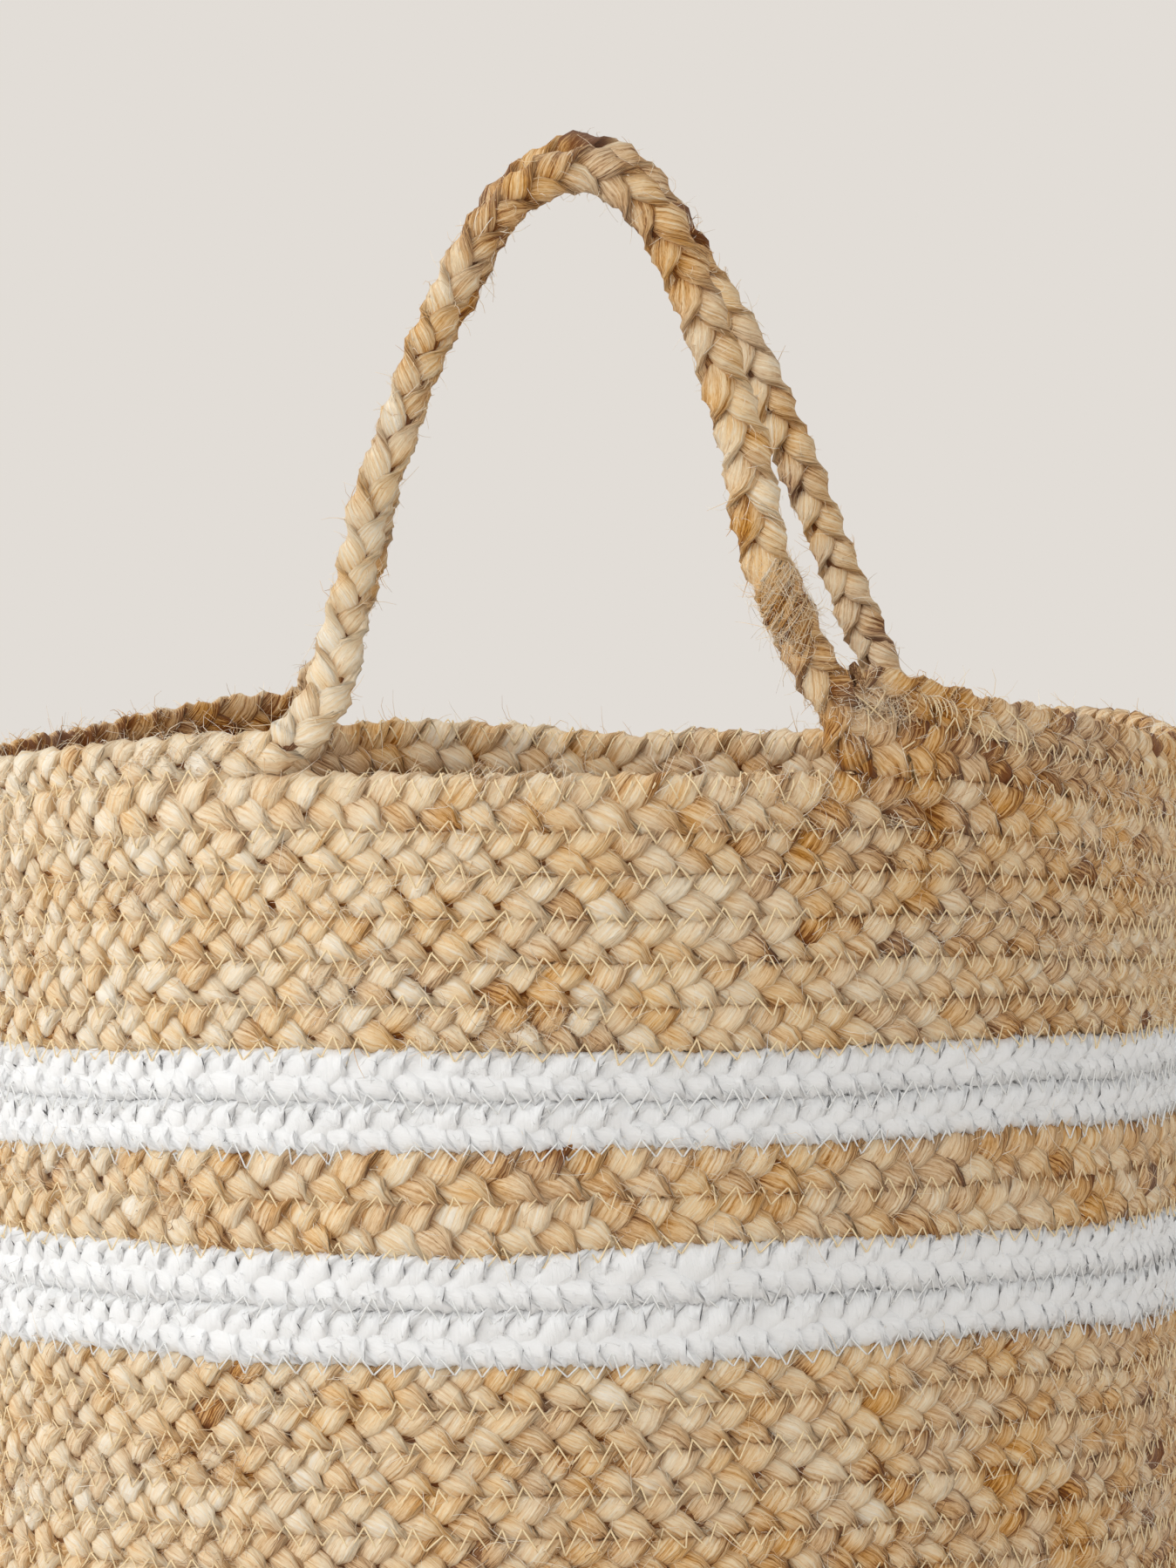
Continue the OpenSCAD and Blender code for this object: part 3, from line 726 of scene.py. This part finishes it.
def arch(handle, knots, feet):
    """The handle's centre line from its foot on the +axis side over to the other one."""
    origin, along, outward, _ = handle
    ends = [((place - origin) @ along, place[2] - origin[2]) for place, _, _ in feet]
    knots = [ends[0]] + [(x * MM, z * MM) for x, z in knots[::-1]] + [ends[1]]
    curve = catmull(knots)
    flat = origin + along * curve[:, :1] + UP * curve[:, 1:]
    radial = [unit(place * [1, 1, 0]) for place, _, _ in feet]
    share = smoothstep((curve[:, 1] + 2 * MM) / (45 * MM))[:, None]
    near = np.where(curve[:, :1] > 0, radial[0], radial[1])
    return flat, unit(near * (1 - share) + outward * share)


front_right = foot_of(front, 1, 3 * MM, 15 * MM)
front_left = foot_of(front, -1, -2 * MM, 28 * MM)
rear_left = foot_of(rear, 1, -3 * MM, 14 * MM)
rear_right = foot_of(rear, -1, 2 * MM, 14 * MM)
fr, fl, rl, rr = front_right[1], front_left[1], rear_left[1], rear_right[1]
# The braid swells by up to 3.6 mm over the last 19 degrees before the front right foot.
swollen = lambda angle: 3.6 * MM * np.clip(1 - (angle - fr) / 19, 0, 1)
points, outward, half, turns = winding(
    UPPER_JUTE, SIDES + (STEP_ANGLE - fr - reach(front_right)) / 360)
at_end = np.where(turns > 360 * (SIDES - 0.5), swollen(STEP_ANGLE + 360 * SIDES - turns), 0.0)
parts = [(points + UP * at_end[:, None], outward, half + at_end, turns)]
TURNED_UP = 20000   # mark of the first part after the wall; each part then has the next one


def add_part(points, outward, number, half=JUTE_HALF):
    parts.append((points[1:], outward[1:], (half + 0 * points[:, 0])[1:],
                  TURNED_UP + number + np.arange(1, len(points)) / len(points)))


HANDLE_HALF = 6.1 * MM
HANDLE_PITCH = 13.2 * MM   # the handles are not sewn, so their braid pulls out longer
# The right side has one more course. Behind the step its braid still lies one course
# lower, and at the front it is lifted by up to 8 mm, with the swollen braid under it.
climb = lambda angle: -2 * JUTE_HALF * smoothstep((angle - STEP_ANGLE) / (2 * STEP_HALF) + 0.5)
lift = lambda angle: 8 * MM * np.clip(1 - (angle - fr) / 15, 0, 1)
bend, radial = foot_bend(front_right, True)
settle = np.linspace(at_end[-1], 1.2 * MM, len(bend))
add_part(bend + UP * (at_end[-1] * np.linspace(1, 0, len(bend)))[:, None], radial, 0,
         JUTE_HALF + settle)
arched = arch(front, FRONT_ARCH, (front_right, front_left))
tight = smoothstep((20 * MM - arched[0][:, 0]) / (40 * MM)) * smoothstep(
    (arched[0][:, 2] - foot_z - 20 * MM) / (30 * MM))   # braided tighter on the left and top
add_part(*arched, 1, HANDLE_HALF + 0.3 * MM - 1.1 * MM * tight)
add_part(*foot_bend(front_left, False), 2)
left_from, left_to = fl % 360 - reach(front_left), rl % 360 + reach(rear_left)
add_part(*side_run("left_side_course", left_from, left_to, None, (SIDES, SIDES + 2)), 3)
add_part(*foot_bend(rear_left, True), 4)
add_part(*arch(rear, REAR_ARCH, (rear_left, rear_right)), 5, HANDLE_HALF)
add_part(*foot_bend(rear_right, False), 6)
right_from = rr - reach(rear_right)
CUT_GAP = np.degrees(3 * MM / wall_r)   # from the cut end to the middle of the leg
add_part(*side_run("right_top_course", right_from, fr + CUT_GAP,
                   lambda angle: climb(angle) + lift(angle), (SIDES + 1, SIDES + 2)), 7)
points, outward, half, mark = [np.concatenate([part[i] for part in parts]) for i in range(4)]
# Of each four parts the first three are a foot, the arch and a foot, and the last a side.
free = (points[:-1, 2] > gap_z + 14 * MM) & (mark[:-1] >= TURNED_UP) & (mark[:-1] % 4 < 3)
upper = braid_frames(points, outward, half, mark, np.where(free, HANDLE_PITCH, JUTE_PITCH))

above = upper["p"][:, 2] > gap_z + 10 * MM
part_number = upper["mark"] - TURNED_UP
on_handle = [above & (part_number >= 4 * i) & (part_number < 4 * i + 3.01) for i in (0, 1)]
cuts = [360.0 * i for i in range(UPPER_JUTE, SIDES + 1)]
for picked in on_handle:
    cuts += [upper["mark"][picked][0], upper["mark"][picked][-1]]
cuts.append(upper["mark"][-1])
replaced = [[name] for name in course_nodes[UPPER_JUTE:SIDES]] + [
    ["right_side_course", "front_turned_ends"], ["front_handle"],
    ["left_side_course", "rear_turned_ends"], ["rear_handle"], ["right_top_course"]]
pieces = braid_pieces(upper, cuts, replaced, raw_jute, jute_strand, jute_fuzz)

# ---------------------------------------------------------------------------------------
# Sewing thread. A cream cotton thread joins each course to the next in a zigzag that
# shows on both faces of the wall; the white bands are sewn with white thread.

STITCH_PITCH = 8.2 * MM    # from one point of the zigzag to the next on the same side
STITCH_REACH = 3.2 * MM    # how far its points stand from the seam
THREAD_R = 0.28 * MM


def sewing_thread(name, colour):
    """Twisted cotton sewing thread: matt, and lighter and darker by turns as it twists."""
    material = bpy.data.materials.new(name)
    material.use_nodes = True
    tree = material.node_tree
    shader = tree.nodes["Principled BSDF"]
    place = node(tree, "ShaderNodeTexCoord").outputs["Object"]
    twist = node(tree, "ShaderNodeTexNoise", {
        "Vector": place, "Scale": 1 / (0.8 * MM), "Detail": 1.0}).outputs["Fac"]
    share = node(tree, "ShaderNodeMapRange", {
        "Value": twist, "To Min": 0.86, "To Max": 1.1}).outputs["Result"]
    tint = node(tree, "ShaderNodeHueSaturation", {"Color": linear(colour), "Value": share})
    tree.links.new(tint.outputs["Color"], shader.inputs["Base Color"])
    shader.inputs["Roughness"].default_value = 0.7
    shader.inputs["Specular IOR Level"].default_value = 0.3
    return material


cream_cotton = sewing_thread("Cream cotton thread, twisted", "#fce6bc")
white_cotton_thread = sewing_thread("White cotton thread, twisted", "#f4f4f2")


def seam_line(first, last):
    """The upper seam of courses first to last: its points, and the ways out and up."""
    points, outward, half, _ = winding(first, last)
    run = unit(np.gradient(points, axis=0))
    outward = unit(outward - (outward * run).sum(1, keepdims=True) * run)
    up = np.cross(run, outward)
    return points + up * half[:, None], outward, up


def zigzag(points, outward, up):
    """Zigzag stitches along a seam, on both faces of the braid: rings of all the legs."""
    steps = np.linalg.norm(np.diff(points, axis=0), axis=1)
    length = np.concatenate([[0.0], np.cumsum(steps)])
    count = int(length[-1] / STITCH_PITCH) * 2
    legs, normals = [], []
    for face in (1, -1):
        place = (np.arange(count) + 0.5 * face) * STITCH_PITCH / 2
        place = np.clip(place + rng.normal(0, 0.75 * MM, count), 0, length[-1])
        at, out, high = (read_line(place, length, v) for v in (points, outward, up))
        out = out * face
        side = np.where(np.arange(count) % 2, 1.0, -1.0)
        across = side * (STITCH_REACH + rng.normal(0, 0.6 * MM, count))
        hole = at + high * across[:, None]
        sunk = rng.normal(0, 0.2 * MM, count) + 1.2 * MM * (rng.random(count) < 0.1)
        top = hole + out * (BRAID_HALF_T - sunk)[:, None]
        deep = hole + out * (BRAID_HALF_T - 1.1 * MM)
        start, end = top[:-1], top[1:]
        legs.append(np.stack([deep[:-1] + (start - end) * 0.02, start * 0.93 + end * 0.07,
                              (start + end) / 2 - out[:-1] * 0.15 * MM,
                              start * 0.07 + end * 0.93, deep[1:]], 1))
        normals.append(np.repeat(out[:-1, None], 5, 1))
    return tubes_on(np.concatenate(legs), np.concatenate(normals), THREAD_R)


def thread_piece(name, rings, material):
    """Makes one piece of all the stitches that stand for the CAD thread of that name."""
    rings = np.concatenate(rings)
    rings[..., 2] = np.maximum(rings[..., 2], 0.0)
    plain = np.full(rings.shape[:3], 0.5)
    piece = tube_mesh(name, (rings, plain, rings))
    piece.data.materials.append(material)
    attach(piece, BODY)
    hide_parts(name)


# A seam lies on top of its course, so a kind of courses starts with the seam below it.
thread_zones = [
    ("base_thread", 0, CORNER), ("lower_jute_thread", CORNER, LOWER_WHITE - 1),
    ("lower_white_thread", LOWER_WHITE - 1, MIDDLE_JUTE - 1),
    ("middle_jute_thread", MIDDLE_JUTE - 1, UPPER_WHITE - 1),
    ("upper_white_thread", UPPER_WHITE - 1, UPPER_JUTE - 1),
    ("upper_jute_thread", UPPER_JUTE - 1, GAP_RIM),
]
side_seams = [
    ("left_side_course", left_from - 1, left_to + 1, None, (SIDES, SIDES)),
    ("right_side_course", right_from, fr + reach(front_right), climb, (SIDES, SIDES)),
    ("right_top_course", right_from, fr + CUT_GAP,
     lambda angle: climb(angle) + lift(angle), (SIDES + 1, SIDES + 1)),
]
for name, first, last in thread_zones:
    rings = [zigzag(*seam_line(first, last))]
    if name == "upper_jute_thread":
        for seam in side_seams:
            line, radial = side_run(*seam)
            rings.append(zigzag(line - UP * JUTE_HALF, radial, UP + 0 * line))
    if "white" in name:
        thread_piece(name, rings, white_cotton_thread)
    else:
        thread_piece(name, rings, cream_cotton)

# ---------------------------------------------------------------------------------------
# Overcast edge. Between the feet of each handle the rim is bare, so its zigzag goes over
# the edge, from a hole on the outside to one on the inside and back.

for name in ("front_overcast_thread", "rear_overcast_thread"):
    p = node_points(name)
    centre = -90.0 if name[:5] == "front" else 90.0
    off = (np.degrees(np.arctan2(p[:, 1], p[:, 0])) - centre + 180) % 360 - 180
    pitch = np.degrees(STITCH_PITCH / wall_r)
    holes = centre + np.arange(off.min(), off.max(), pitch)
    holes = holes + rng.normal(0, 0.1 * pitch, len(holes))
    legs, lean = [], []
    for way in (1, -1):
        # angle, distance from the middle of the wall, and height over the edge
        shape = np.array([(0, 3.2, -6.0), (0.03, 4.7, -5.3), (0.28, 5.0, -1.4), (0.5, 0, 1.9),
                          (0.72, -5.0, -1.4), (0.97, -4.7, -5.3), (1, -3.2, -6.0)])
        if way < 0:
            shape[:, 0] = 2 - shape[:, 0]
            shape = shape[::-1]
        angle = holes[:, None] + shape[:, 0] * pitch
        rise = shape[:, 2] * (1 + rng.normal(0, 0.12, (len(holes), 1)))
        _, z, _, half = course_at(GAP_RIM, angle.ravel())
        edge = (z + half).reshape(angle.shape) + rise * MM
        radial = outwards(np.radians(angle))
        legs.append(radial * (wall_r + shape[:, 1] * MM)[None, :, None]
                    + UP * edge[..., None])
        lean.append(radial + UP * 0.7)
    loops = tubes_on(np.concatenate(legs), np.concatenate(lean), THREAD_R)
    thread_piece(name, [loops], cream_cotton)

# ---------------------------------------------------------------------------------------
# Cut end. The braid stops beside the front right foot, held by a few long stitches of
# cream thread. Its strands fray into a tuft of short, curly, darker fibres.

TACKS = 26   # stitches over the end, of which the first few lie side by side as a comb
COMB_TACKS = 7
top = gap_z + 4 * JUTE_HALF + 6 * MM
legs, lean = [], []
for i in range(TACKS):
    comb = i < COMB_TACKS
    off = (22 + 1.9 * i if comb else rng.uniform(0, 62)) * MM
    drop = (6.5 if comb else rng.uniform(6, 13)) * MM
    slant = 0.35 + rng.normal(0, 0.06) if comb else rng.normal(0, 0.8)
    z = top - off * 0.15 - (3 * MM if comb else rng.uniform(2, 16) * MM)
    u = np.linspace(0, 1, 5)
    bulge = np.array([2.9, 4.3, 4.6, 4.3, 2.9]) * MM
    radial = outwards(np.radians(fr + CUT_GAP) + (off + slant * drop * (u - 0.5)) / wall_r)
    legs.append(radial * (wall_r + bulge)[:, None] + UP * (z - drop * u)[:, None])
    lean.append(radial)
tacks = tubes_on(np.array(legs), np.array(lean), THREAD_R)
thread_piece("end_tack_thread", [tacks], cream_cotton)

TUFT_HALF = np.array([5.0, 4.0, 8.0]) * MM
count = 900
heart = upper["p"][-1] - upper["t"][-1] * 2 * MM - UP * 4 * MM
out = unit(rng.normal(0, 1, (count, 3)))
start = (heart + out * TUFT_HALF * rng.random((count, 1)) ** 0.4
         - upper["t"][-1] * rng.uniform(0, 14 * MM, (count, 1)))
run = unit(np.cross(out, unit(rng.normal(0, 1, (count, 3)))))
tuft = loose_fibres(start, run, out, rng.uniform(4, 11, count) * MM, rng.normal(0, 1, count),
                    rng.normal(0, 2.5, count), rng.uniform(0.1, 0.7, count),
                    rng.uniform(0.09, 0.15, count) * MM, rng.uniform(0.25, 0.9, count))
tuft = tube_mesh("cut_end_tuft", tuft)
tuft.data.materials.append(raw_jute)
hold(tuft, "right_top_course")

# ---------------------------------------------------------------------------------------
# Whipping on the front right leg. The braid is joined here: a loose roving is wound round
# both ends, over a length of 3 cm, and its fibres work loose.

height = upper["p"][:, 2] - gap_z
leg = (part_number > 1) & (part_number < 1.5) & (height > 31 * MM) & (height < 70 * MM)
frames = {k: upper[k][leg] for k in ("p", "t", "o", "w")}
along = upper["s"][leg] - upper["s"][leg][0]
WRAP_STEP = 0.9 * MM
SLANT = 5.2 * MM   # the turns lie slanting across the leg, higher on its right
turns_made = (along[-1] - 2 * SLANT - 3 * MM) / WRAP_STEP
theta = np.arange(0, 2 * np.pi * turns_made, 2 * np.pi / 18)   # 18 points a turn
place = SLANT + 1.5 * MM + theta / (2 * np.pi) * WRAP_STEP
place = place + (SLANT + (wander(theta, 11.0) - 0.5) * 2.5 * MM) * np.cos(theta)
at = {k: read_line(place, along, v) for k, v in frames.items()}
swell = 1 + 0.1 * np.sin(2 * np.pi * place / (14 * MM)) + 0.12 * (wander(theta, 3.0) - 0.5)
taper = smoothstep(place / (12 * MM)) * smoothstep((along[-1] - place) / (12 * MM))
wide_r = (4.6 * MM + 2.2 * MM * taper) * swell
deep_r = (2.4 * MM + 3.1 * MM * taper) * swell
ring = (at["w"] * (wide_r * np.cos(theta))[:, None]
        + at["o"] * (deep_r * np.sin(theta))[:, None])
yarn = at["p"] + ring
rings = tubes_on(yarn[None], unit(ring)[None], 0.5 * MM, rounds=6)
tone = 0.32 + 0.7 * (wander(theta, 5.0) - 0.5) + 0.4 * (wander(theta, 60.0) - 0.5)
tone = tone + 0.2 * smoothstep(place / (30 * MM))
tone = np.broadcast_to(tone[None, :, None], rings.shape[:3])
count = 600
i = rng.integers(0, len(yarn) - 1, count)
out = unit(ring[i])
run = unit(yarn[i + 1] - yarn[i])
loose = loose_fibres(yarn[i] + out * 0.4 * MM, run, out,
                     rng.lognormal(np.log(7), 0.4, count) * MM,
                     rng.normal(0, 0.8, count), rng.normal(0, 1.4, count),
                     rng.uniform(0.05, 0.6, count), rng.uniform(0.07, 0.12, count) * MM,
                     rng.uniform(0.5, 1.0, count))
drawn = np.arange(len(theta)) * 0.05 * MM
fibre = (rings - yarn[None, :, None]) * 2 + drawn[None, :, None, None]
whipping = tube_mesh("front_handle_whipping", (rings, tone, fibre), loose)
whipping.data.materials.append(raw_jute)
hold(whipping, "front_handle")

# ---------------------------------------------------------------------------------------
# Floor, light and camera. The basket stands on a pale floor, which fades for the camera
# alone into a backdrop of the same colour. One large soft window lights it from the left,
# and an even fill, a little stronger on that side, comes from all round.

BACKGROUND = "#e2ddd7"
FLOOR_HALF = 4
floor_mesh = bpy.data.meshes.new("floor")
floor_mesh.from_pydata([(x * FLOOR_HALF, y * FLOOR_HALF, 0) for x, y in (
    (-1, -1), (1, -1), (1, 1), (-1, 1))], [], [(0, 1, 2, 3)])
floor = bpy.data.objects.new("floor", floor_mesh)
bpy.context.scene.collection.objects.link(floor)
floor_material = bpy.data.materials.new("Pale studio floor")
floor_material.use_nodes = True
tree = floor_material.node_tree
shader = tree.nodes["Principled BSDF"]
shader.inputs["Base Color"].default_value = linear(BACKGROUND)
shader.inputs["Roughness"].default_value = 0.9
place = node(tree, "ShaderNodeTexCoord").outputs["Object"]
distance = node(tree, "ShaderNodeVectorMath", {0: place}, operation="LENGTH").outputs["Value"]
far = node(tree, "ShaderNodeMapRange", {"Value": distance, "From Min": 0.5, "From Max": 1.1},
           interpolation_type="SMOOTHSTEP").outputs["Result"]
seen = node(tree, "ShaderNodeLightPath").outputs["Is Camera Ray"]
share = node(tree, "ShaderNodeMath", {0: far, 1: seen}, operation="MULTIPLY").outputs[0]
glow = node(tree, "ShaderNodeEmission", {"Color": linear(BACKGROUND)})
mixed = node(tree, "ShaderNodeMixShader", {0: share, 1: shader.outputs[0], 2: glow.outputs[0]})
tree.links.new(mixed.outputs[0], tree.nodes["Material Output"].inputs["Surface"])
floor.data.materials.append(floor_material)

world = bpy.data.worlds.new("Studio")
bpy.context.scene.world = world
world.use_nodes = True
tree = world.node_tree
towards = node(tree, "ShaderNodeTexCoord").outputs["Generated"]
across = node(tree, "ShaderNodeSeparateXYZ", {0: towards}).outputs["X"]
brightness = node(tree, "ShaderNodeMath", {0: across, 1: -0.3, 2: 0.92},
                  operation="MULTIPLY_ADD").outputs[0]
fill = tree.nodes["Background"]
fill.inputs["Color"].default_value = linear("#fdfdfc")
tree.links.new(brightness, fill.inputs["Strength"])
seen = node(tree, "ShaderNodeLightPath").outputs["Is Camera Ray"]
plain = node(tree, "ShaderNodeBackground", {"Color": linear(BACKGROUND), "Strength": 1.0})
mixed = node(tree, "ShaderNodeMixShader", {0: seen, 1: fill.outputs[0], 2: plain.outputs[0]})
tree.links.new(mixed.outputs[0], tree.nodes["World Output"].inputs["Surface"])


def aim(thing, target):
    towards = Vector(target) - thing.location
    thing.rotation_euler = towards.to_track_quat("-Z", "Y").to_euler()


lamp = bpy.data.lights.new("window_light", "AREA")
lamp.energy = 19.5
lamp.size = 2.0
lamp.color = (0.97, 0.99, 1.0)
key = bpy.data.objects.new("window_light", lamp)
bpy.context.scene.collection.objects.link(key)
key.location = (-2.2, -0.9, 1.5)
aim(key, (0.0, 0.0, 0.25))

CAMERA_BACK = 2.8
camera = bpy.data.objects.new("camera", bpy.data.cameras.new("camera"))
bpy.context.scene.collection.objects.link(camera)
camera.data.sensor_fit = "VERTICAL"
camera.data.sensor_height = 36.0
camera.data.lens = 202.0
camera.location = (0.0, -CAMERA_BACK, 0.4697)
aim(camera, (0.0104, 0.0, 0.3479))
bpy.context.scene.camera = camera
bpy.context.scene.view_settings.view_transform = "Standard"
